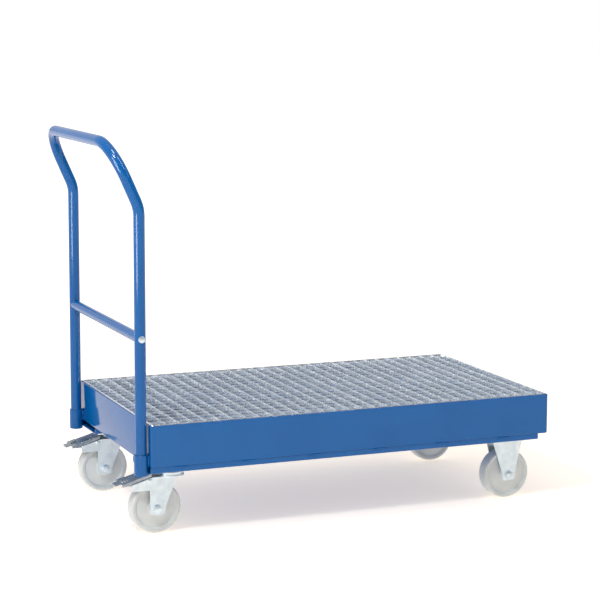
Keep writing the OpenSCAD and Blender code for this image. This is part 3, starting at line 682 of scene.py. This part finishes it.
bar_profile = add(rows, "GeometryNodeFilletCurve", {"Curve": bar_box.outputs["Curve"], "Count": 2,
                                                    "Radius": row_in["Round"]}, mode="POLY")
one_bar = add(rows, "GeometryNodeCurveToMesh", {
    "Curve": bar_line.outputs["Curve"], "Profile Curve": bar_profile.outputs["Curve"], "Fill Caps": True})
step = add(rows, "ShaderNodeCombineXYZ", {"Y": row_in["Pitch"]})
places = add(rows, "GeometryNodeMeshLine", {"Count": row_in["Count"], "Offset": step.outputs["Vector"]},
             mode="OFFSET")
tilt_down = add(rows, "ShaderNodeMath", {0: row_in["Tilt"], 1: -1.0}, operation="MULTIPLY")
lean = add(rows, "FunctionNodeRandomValue", {2: tilt_down.outputs["Value"], 3: row_in["Tilt"],
                                             "Seed": row_in["Seed"]}, data_type="FLOAT")
leaned = add(rows, "ShaderNodeCombineXYZ", {"X": lean.outputs[1]})
bars = add(rows, "GeometryNodeInstanceOnPoints", {"Points": places.outputs["Mesh"],
                                                  "Instance": one_bar.outputs["Mesh"],
                                                  "Rotation": leaned.outputs["Vector"]})
drop = add(rows, "FunctionNodeRandomValue", {2: 0.0, 3: row_in["Uneven"], "Seed": row_in["Seed"]},
           data_type="FLOAT")
sink = add(rows, "ShaderNodeMath", {0: drop.outputs[1], 1: -1.0}, operation="MULTIPLY")
down = add(rows, "ShaderNodeCombineXYZ", {"Z": sink.outputs["Value"]})
sunk = add(rows, "GeometryNodeTranslateInstances", {"Instances": bars.outputs["Instances"],
                                                    "Translation": down.outputs["Vector"]})
turned_row = add(rows, "GeometryNodeTransform", {"Geometry": sunk.outputs["Instances"],
                                                 "Translation": row_in["Place"], "Rotation": row_in["Turn"]})
close_tree(rows, turned_row.outputs["Geometry"], row_in["Finish"])

# %% Grating
MESH_NOMINAL = 34 * MM
BORDER = 3 * MM
BAR = 2 * MM
CROSS_BAR_HEIGHT = 10 * MM
CROSS_BAR_DROP = 0.25 * MM
BAR_ROUND = 0.35 * MM
UNEVEN = 0.12 * MM
CROSS_TILT = math.radians(1.2)
BEARING_TILT = CROSS_TILT / 3

grate_low, grate_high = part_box("grating_border")
grate_size, grate_middle = grate_high - grate_low, (grate_high + grate_low) / 2
border_ring = [
    (grate_middle.x + sx * (grate_size.x - BORDER) / 2, grate_middle.y + sy * (grate_size.y - BORDER) / 2,
     grate_middle.z)
    for sx, sy in ((-1, -1), (1, -1), (1, 1), (-1, 1))
]
border = bent_bar("grating_border_strip", GALVANISED, border_ring, BORDER, grate_size.z, BAR_ROUND,
                  BORDER, steps=3, closed=True)
set_in(border, "grating", "galvanised_steel", "grating_border")

mesh_l, mesh_w = grate_size.x - 2 * BORDER, grate_size.y - 2 * BORDER
cells_l, cells_w = (round((size + BORDER) / MESH_NOMINAL) for size in (mesh_l, mesh_w))
pitch_l, pitch_w = (mesh_l + BORDER) / cells_l, (mesh_w + BORDER) / cells_w
bearing = grown("grating_bearing_bars_pressed", rows, {
    "Length": mesh_w, "Height": grate_size.z, "Thickness": BAR, "Round": BAR_ROUND, "Pitch": pitch_l,
    "Count": cells_l - 1, "Uneven": UNEVEN, "Tilt": BEARING_TILT, "Seed": 3, "Turn": (0, 0, -math.pi / 2),
    "Place": (grate_middle.x - (cells_l / 2 - 1) * pitch_l, grate_middle.y, grate_middle.z),
    "Finish": GALVANISED})
set_in(bearing, "grating", "galvanised_steel", "grating_bearing_bars")
crossing = grown("grating_cross_bars_pressed", rows, {
    "Length": mesh_l, "Height": CROSS_BAR_HEIGHT, "Thickness": BAR, "Round": BAR_ROUND, "Pitch": pitch_w,
    "Count": cells_w - 1, "Uneven": UNEVEN, "Tilt": CROSS_TILT, "Seed": 8, "Turn": (0, 0, 0),
    "Place": (grate_middle.x, grate_middle.y - (cells_w / 2 - 1) * pitch_w,
              grate_high.z - CROSS_BAR_DROP - CROSS_BAR_HEIGHT / 2),
    "Finish": GALVANISED})
set_in(crossing, "grating", "galvanised_steel", "grating_cross_bars")
print("grating:", cells_l, "by", cells_w, "cells of", round(pitch_l / MM, 1), "by",
      round(pitch_w / MM, 1), "mm")

# %% [markdown]
# ## Fasteners
# Hexagon bolts and nuts repeat all over the truck, each turned as the spanner left it. Their places are
# read from the CAD's solids. One bolt is lofted from rings: the hexagon's radius follows from its
# width across flats, and a cone cuts its corners back, which gives the curved chamfer of a real head.

# %% Hexagon parts
RING_POINTS = 24
CHAMFER = math.tan(math.radians(30))
# the flat face's radius, as a share of the width across flats
FACE_SHARE = 0.47
WASHER_FACE = 0.3 * MM
TIP_CHAMFER = 0.8 * MM


def solids_of(node_name):
    """Boxes (low, high) of the separate solids in a CAD node, in a fixed order."""
    shape = whole_mesh(node_name)
    left, boxes = set(shape.verts), []
    while left:
        frontier, group = [left.pop()], []
        while frontier:
            vert = frontier.pop()
            group.append(vert.co.copy())
            near = [edge.other_vert(vert) for edge in vert.link_edges]
            frontier += [other for other in near if other in left]
            left.difference_update(near)
        boxes.append(tuple(Vector(pick(axis) for axis in zip(*group)) for pick in (min, max)))
    shape.free()
    return sorted(boxes, key=lambda box: tuple(round(value, 4) for value in box[0]))


def hex_ring(flat, z, side=0):
    """A hexagon ring; a side of -1 or 1 cuts its corners back from below or from above by a cone."""
    ring = []
    for k in range(RING_POINTS):
        a = 2 * math.pi * k / RING_POINTS
        radius = flat / 2 / math.cos((a + math.pi / 6) % (math.pi / 3) - math.pi / 6)
        cut = (radius - FACE_SHARE * flat) * CHAMFER
        ring.append((radius * math.cos(a), radius * math.sin(a), z - cut * side))
    return ring


def round_ring(radius, z):
    """A circle of points at height z."""
    turn = 2 * math.pi / RING_POINTS
    return [(radius * math.cos(turn * k), radius * math.sin(turn * k), z) for k in range(RING_POINTS)]


def hex_bolt(name, flat, head, shank_r, shank_l):
    """A bolt along Z: its head hangs below the origin and its shank goes up."""
    face = FACE_SHARE * flat
    rings = [round_ring(face, -head), hex_ring(flat, -head, -1), hex_ring(flat, -WASHER_FACE),
             round_ring(face, -WASHER_FACE), round_ring(face, 0), round_ring(shank_r, 0),
             round_ring(shank_r, shank_l - TIP_CHAMFER), round_ring(shank_r - TIP_CHAMFER, shank_l)]
    return loft(name, rings, ZINC)


def hex_nut(name, flat, height, bore_r):
    """A nut along Z from the origin up, chamfered on both faces."""
    face = FACE_SHARE * flat
    rings = [round_ring(bore_r, 0), round_ring(face, 0), hex_ring(flat, 0, -1), hex_ring(flat, height, 1),
             round_ring(face, height), round_ring(bore_r, height)]
    return loft(name, rings, ZINC, loop=True)

# %% Tree: a part on every point, along the point's aim
fixings, fix_in = new_tree("fixings", {"Part": "Object", "Seed": "Int", "Finish": "Material"})
part_info = add(fixings, "GeometryNodeObjectInfo", {"Object": fix_in["Part"]}, transform_space="ORIGINAL")
aim_at = add(fixings, "GeometryNodeInputNamedAttribute", {"Name": "aim"}, data_type="FLOAT_VECTOR")
aimed = add(fixings, "FunctionNodeAlignRotationToVector", {"Vector": aim_at.outputs["Attribute"]}, axis="Z")
twist = add(fixings, "FunctionNodeRandomValue", {2: 0.0, 3: 2 * math.pi, "Seed": fix_in["Seed"]},
            data_type="FLOAT")
about_z = add(fixings, "FunctionNodeAxisAngleToRotation", {"Axis": (0, 0, 1), "Angle": twist.outputs[1]})
twisted = add(fixings, "FunctionNodeRotateRotation", {"Rotation": aimed.outputs["Rotation"],
                                                      "Rotate By": about_z.outputs["Rotation"]},
              rotation_space="LOCAL")
fixed = add(fixings, "GeometryNodeInstanceOnPoints", {"Points": fix_in["Geometry"],
                                                      "Instance": part_info.outputs["Geometry"],
                                                      "Rotation": twisted.outputs["Rotation"]})
close_tree(fixings, fixed.outputs["Instances"], fix_in["Finish"])


def fasten(node_name, aim_of, flat, head, shank_r, seed):
    """Replaces a CAD node of bolts (head > 0) or nuts (head = 0) with detailed ones."""
    points, aims = [], []
    for low, high in solids_of(node_name):
        centre = (low + high) / 2
        aim = Vector(aim_of(centre))
        length = abs((high - low).dot(aim))
        points.append(centre - aim * (length / 2 - head))
        aims.append(tuple(aim))
    if head:
        part = hex_bolt(node_name + "_one", flat, head, shank_r, length - head)
    else:
        part = hex_nut(node_name + "_one", flat, length, shank_r)
    made = grown(node_name + "_hex", fixings, {"Part": part, "Seed": seed, "Finish": ZINC}, points,
                 directions=aims)
    bpy.data.objects.remove(part)
    set_in(made, body_of(node_name), "zinc_plated_steel", node_name)

# %% Bolts and nuts
UP, ACROSS = (0, 0, 1), (0, 1, 0)
M8_FLAT, M8_HEAD, M8_RADIUS = 13 * MM, 5.28 * MM, 4 * MM
M12_FLAT, M12_HEAD, M12_RADIUS = 17.6 * MM, 6.96 * MM, 6 * MM
SCREW_FLAT, SCREW_HEAD = 13.2 * MM, 4 * MM

fasten("plate_bolts", lambda centre: UP, M8_FLAT, M8_HEAD, M8_RADIUS, seed=1)
fasten("plate_nuts", lambda centre: UP, M8_FLAT, 0, M8_RADIUS, seed=2)
fasten("cross_tube_screws", lambda centre: (0, RIGHT if centre.y > 0 else LEFT, 0), SCREW_FLAT, SCREW_HEAD,
       M8_RADIUS, seed=5)
for bolts, nuts in (("fixed_axle_bolts", "fixed_axle_nuts"),
                    ("swivel_axle_bolt_right", "swivel_axle_nut_right"),
                    ("swivel_axle_bolt_left", "swivel_axle_nut_left")):
    fasten(bolts, lambda centre: ACROSS, M12_FLAT, M12_HEAD, M12_RADIUS, seed=4)
    fasten(nuts, lambda centre: ACROSS, M12_FLAT, 0, M12_RADIUS, seed=6)

# %% [markdown]
# ## Pedal pins and springs
# Each pedal turns on a pin whose ends are riveted over into low domes, so the pin is a turned part. The
# spring round it is a helix: a spiral curve of wire, grown by its own small tree.

# %% Pedal pins
PIN_RADIUS = 4 * MM
RIVET_RADIUS, RIVET_HEIGHT, RIVET_ROUND, RIVET_GAP = 6 * MM, 1.8 * MM, 1.6 * MM, 0.4 * MM
for side_name in SIDES:
    low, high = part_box(f"brake_pin_{side_name}")
    length = high.y - low.y
    rivet = rounded([(RIVET_GAP, 0, 0), (RIVET_RADIUS, 0, RIVET_ROUND), (RIVET_RADIUS, RIVET_HEIGHT, 0),
                     (PIN_RADIUS, RIVET_HEIGHT, 0)])
    ends = [(p.x, p.y) for p in rivet] + [(p.x, length - p.y) for p in reversed(rivet)]
    foot = Vector(((low.x + high.x) / 2, low.y, (low.z + high.z) / 2))
    piece = turned(f"brake_pin_{side_name}_riveted", ends, foot, ZINC, axis="Y", count=32)
    set_in(piece, f"swivel_{side_name}", "zinc_plated_steel", f"brake_pin_{side_name}")

# %% Tree: a coil of wire
coils, coil_in = new_tree("coil spring", {"Turns": "Float", "Radius": "Float", "Length": "Float",
                                          "Wire": "Float", "Place": "Vector", "Finish": "Material"})
helix = add(coils, "GeometryNodeCurveSpiral", {"Resolution": 24, "Rotations": coil_in["Turns"],
                                               "Start Radius": coil_in["Radius"],
                                               "End Radius": coil_in["Radius"], "Height": coil_in["Length"]})
wire = add(coils, "GeometryNodeCurvePrimitiveCircle", {"Resolution": 10, "Radius": coil_in["Wire"]})
coil = add(coils, "GeometryNodeCurveToMesh", {
    "Curve": helix.outputs["Curve"], "Profile Curve": wire.outputs["Curve"], "Fill Caps": True})
laid = add(coils, "GeometryNodeTransform", {"Geometry": coil.outputs["Mesh"], "Rotation": (math.pi / 2, 0, 0),
                                            "Translation": coil_in["Place"]})
close_tree(coils, laid.outputs["Geometry"], coil_in["Finish"])

# %% Pedal springs
SPRING_TURNS, WIRE_RADIUS = 5, 0.7 * MM
for side_name in SIDES:
    low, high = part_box(f"brake_spring_{side_name}")
    coil_length = high.y - low.y - 2 * WIRE_RADIUS
    foot = ((low.x + high.x) / 2, high.y - WIRE_RADIUS, (low.z + high.z) / 2)
    piece = grown(f"brake_spring_{side_name}_coil", coils, {
        "Turns": SPRING_TURNS, "Radius": (high.x - low.x) / 2 - WIRE_RADIUS, "Length": coil_length,
        "Wire": WIRE_RADIUS, "Place": foot, "Finish": STEEL})
    set_in(piece, f"swivel_{side_name}", "bright_steel", f"brake_spring_{side_name}")

# %% [markdown]
# ## Weld beads
# Sockets and rails are welded to the tray before it is coated, so the beads are blue. A bead is a row
# of frozen ripples: the tree walks along each line in small steps and lets the bead's radius swell and
# shrink, with a fixed seed, and tapers its two ends.

# %% Tree: weld beads along lines
# shares of the bead's radius: its thinnest and thickest ripple, and its tips
THIN_RIPPLE, THICK_RIPPLE, TIP = 0.82, 1.12, 0.4

welds, weld_in = new_tree("weld beads", {
    "Bead": "Float", "Ripple": "Float", "Seed": "Int", "Finish": "Material"})
seam = add(welds, "GeometryNodeMeshToCurve", {"Mesh": weld_in["Geometry"]})
steps_along = add(welds, "GeometryNodeResampleCurve", {"Curve": seam.outputs["Curve"],
                                                       "Length": weld_in["Ripple"]}, mode="LENGTH")
swell = add(welds, "FunctionNodeRandomValue", {2: THIN_RIPPLE, 3: THICK_RIPPLE, "Seed": weld_in["Seed"]},
            data_type="FLOAT")
rippled = add(welds, "GeometryNodeSetCurveRadius", {"Curve": steps_along.outputs["Curve"],
                                                    "Radius": swell.outputs[1]})
tips = add(welds, "GeometryNodeCurveEndpointSelection")
tapered = add(welds, "GeometryNodeSetCurveRadius", {"Curve": rippled.outputs["Curve"],
                                                    "Selection": tips.outputs["Selection"], "Radius": TIP})
bead_round = add(welds, "GeometryNodeCurvePrimitiveCircle", {"Resolution": 10, "Radius": weld_in["Bead"]})
beads = add(welds, "GeometryNodeCurveToMesh", {
    "Curve": tapered.outputs["Curve"], "Profile Curve": bead_round.outputs["Curve"], "Fill Caps": True})
close_tree(welds, beads.outputs["Mesh"], weld_in["Finish"])

# %% Weld beads
BEAD_RADIUS, RIPPLE = 2 * MM, 2 * MM
SOCKET_BEAD_OUT, BEAD_IN = 9.5 * MM, 1.2 * MM
STITCH, STITCH_STEP, STITCH_START = 30 * MM, 170 * MM, 60 * MM
seams = []
for side in SIDES.values():
    for out in (-SOCKET_BEAD_OUT, SOCKET_BEAD_OUT):
        seams.append([(tray_low.x - BEAD_IN, side * arm_y + out, z)
                      for z in (tray_low.z + 2 * BEAD_IN, socket_high.z - 2 * BEAD_IN)])
for side_name in SIDES:
    low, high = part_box(f"castor_rail_{side_name}")
    for y, outward in ((low.y, -1), (high.y, 1)):
        for k in range(int((high.x - low.x - STITCH_START) / STITCH_STEP) + 1):
            start = low.x + STITCH_START + k * STITCH_STEP
            seams.append([(x, y + outward * BEAD_IN / 3, high.z - BEAD_IN) for x in (start, start + STITCH)])
bead_points = [point for ends in seams for point in ends]
bead_edges = [(2 * k, 2 * k + 1) for k in range(len(seams))]
piece = grown("weld_beads", welds, {"Bead": BEAD_RADIUS, "Ripple": RIPPLE, "Seed": 11, "Finish": BLUE},
              bead_points, bead_edges)
set_in(piece, "chassis", "blue_enamel")

# %% [markdown]
# ## Studio
# The truck stands in a white room: a floor that glows, so that shadows stay pale, a large soft light
# overhead, a small key light high on the left and a weaker softbox on the right. Three cards light no
# surface and show in reflections only: they draw the highlights down the bow's tubes. The walls are
# bright behind the truck, where a low-angle panel mirrors them, and dim behind the camera, which keeps
# the blue deep.

# %% Floor
FLOOR_SIZE = 60.0
# metres from the origin where the glow starts to grow and where it is full, and its two strengths
GLOW_NEAR, GLOW_FAR = 1.3, 4.0
GLOW_UNDER, GLOW_OPEN = 0.54, 0.74


def floor_paint_and_glow(tree, place):
    """Matt white paint with a painted glow, warmer and weaker near the truck: a painted warm shadow."""
    tone = spread(tree, noise(tree, place, 900), 0, 1)
    distance = add(tree, "ShaderNodeVectorMath", {0: place}, operation="LENGTH").outputs["Value"]
    open_floor = spread(tree, distance, 0, 1, start=GLOW_NEAR, stop=GLOW_FAR)
    return {
        "Base Color": blend_colours(tree, tone, "#EFE9E6", "#F3EEEB"),
        "Roughness": 1.0,
        "Specular IOR Level": 0.0,
        # the painted glow: warmer and weaker near the truck, as a painted shadow round it
        "Emission Color": blend_colours(tree, open_floor, "#FFF0DC", "#FFFFFF"),
        "Emission Strength": spread(tree, open_floor, GLOW_UNDER, GLOW_OPEN, start=0, stop=1),
    }


floor_shape = bmesh.new()
bmesh.ops.create_grid(floor_shape, x_segments=1, y_segments=1, size=FLOOR_SIZE / 2)
floor = mesh_object("studio_floor", floor_shape, material("matt_white_floor_paint_and_glow", floor_paint_and_glow))
floor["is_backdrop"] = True

# %% World and lights
scene = bpy.context.scene
world = bpy.data.worlds.new("white_room")
world.use_nodes = True
room = world.node_tree
room.nodes.clear()
WALL_BRIGHT, WALL_DIM = 0.80, 0.14
# cosines of the angle to the bright side between which the walls fade from dim to bright
FADE_DIM, FADE_BRIGHT = -0.7, 0.3
BRIGHT_SIDE = Vector((-0.45, 0.85, 0.25)).normalized()
TRUCK_MIDDLE = (0, 0, 0.45)
toward = add(room, "ShaderNodeTexCoord").outputs["Generated"]
facing = add(room, "ShaderNodeVectorMath", {0: toward, 1: BRIGHT_SIDE}, operation="DOT_PRODUCT")
level = add(room, "ShaderNodeMapRange", {"Value": facing.outputs["Value"], "From Min": FADE_DIM,
                                         "From Max": FADE_BRIGHT, "To Min": WALL_DIM,
                                         "To Max": WALL_BRIGHT})
walls = add(room, "ShaderNodeBackground", {"Color": linear("#FFFFFF"), "Strength": level.outputs["Result"]})
seen = add(room, "ShaderNodeBackground", {"Color": linear("#FFFFFF"), "Strength": 1.0})
ray = add(room, "ShaderNodeLightPath")
either = add(room, "ShaderNodeMixShader", {0: ray.outputs["Is Camera Ray"], 1: walls.outputs["Background"],
                                           2: seen.outputs["Background"]})
add(room, "ShaderNodeOutputWorld", {"Surface": either.outputs["Shader"]})
scene.world = world
scene.view_settings.view_transform = "Standard"


def aimed_at(made, azimuth, elevation, distance, target):
    """Stands a light or camera off from a target and turns it to face it; azimuth 0 looks along +Y."""
    a, e = math.radians(azimuth), math.radians(elevation)
    back = Vector((math.sin(a) * math.cos(e), -math.cos(a) * math.cos(e), math.sin(e)))
    made.location = Vector(target) + back * distance
    made.rotation_euler = (-back).to_track_quat("-Z", "Y").to_euler()
    scene.collection.objects.link(made)
    return made


def softbox(name, azimuth, elevation, distance, width, height, power, only_mirrored=False):
    """A rectangular soft light that faces the truck's middle, or a card that only reflections show."""
    lamp = bpy.data.lights.new(name, "AREA")
    lamp.shape, lamp.size, lamp.size_y, lamp.energy = "RECTANGLE", width, height, power
    made = aimed_at(bpy.data.objects.new(name, lamp), azimuth, elevation, distance, TRUCK_MIDDLE)
    made.visible_diffuse = not only_mirrored
    return made


# azimuth and elevation in degrees, then distance, width and height in metres, and power in watts
softbox("softbox_overhead", -10, 78, 3.2, 3.0, 2.0, 10)
softbox("key_high_left", -48, 44, 3.4, 0.5, 0.5, 46)
softbox("softbox_right", 48, 30, 3.4, 0.6, 1.2, 9)
softbox("card_left", -66, 9.5, 3.0, 1.15, 1.5, 75, only_mirrored=True)
softbox("card_high_left", -30, 62, 3.2, 0.3, 1.6, 38, only_mirrored=True)
softbox("card_high_right", 26, 50, 3.2, 0.3, 1.6, 38, only_mirrored=True)
print("lights:", ", ".join(lamp.name for lamp in bpy.data.lights))

# %% [markdown]
# ## Camera
# A long lens a few metres away keeps the truck's edges nearly parallel. The picture is a crop that sits
# a little to one side of the lens's axis, which a small shift repeats.

# %% Camera
camera = bpy.data.cameras.new("camera")
camera.sensor_width = 36.0
camera.lens = 118.6
camera.shift_x, camera.shift_y = 0.055, -0.055
camera.clip_end = 200.0
VIEW_AZIMUTH, VIEW_ELEVATION, VIEW_DISTANCE = -21.26, 7.83, 4.980
VIEW_TARGET = (-0.069, 0.0, 0.5916)
scene.camera = aimed_at(bpy.data.objects.new("camera", camera), VIEW_AZIMUTH, VIEW_ELEVATION,
                        VIEW_DISTANCE, VIEW_TARGET)
print("camera:", camera.lens, "mm lens,", VIEW_DISTANCE, "m from its target")

# %% [markdown]
# ## The finished size
# The finished model's box is printed.

# %% Print the finished model's box
low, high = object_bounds()
print("size of the visual model:", [round(v, 4) for v in high - low])
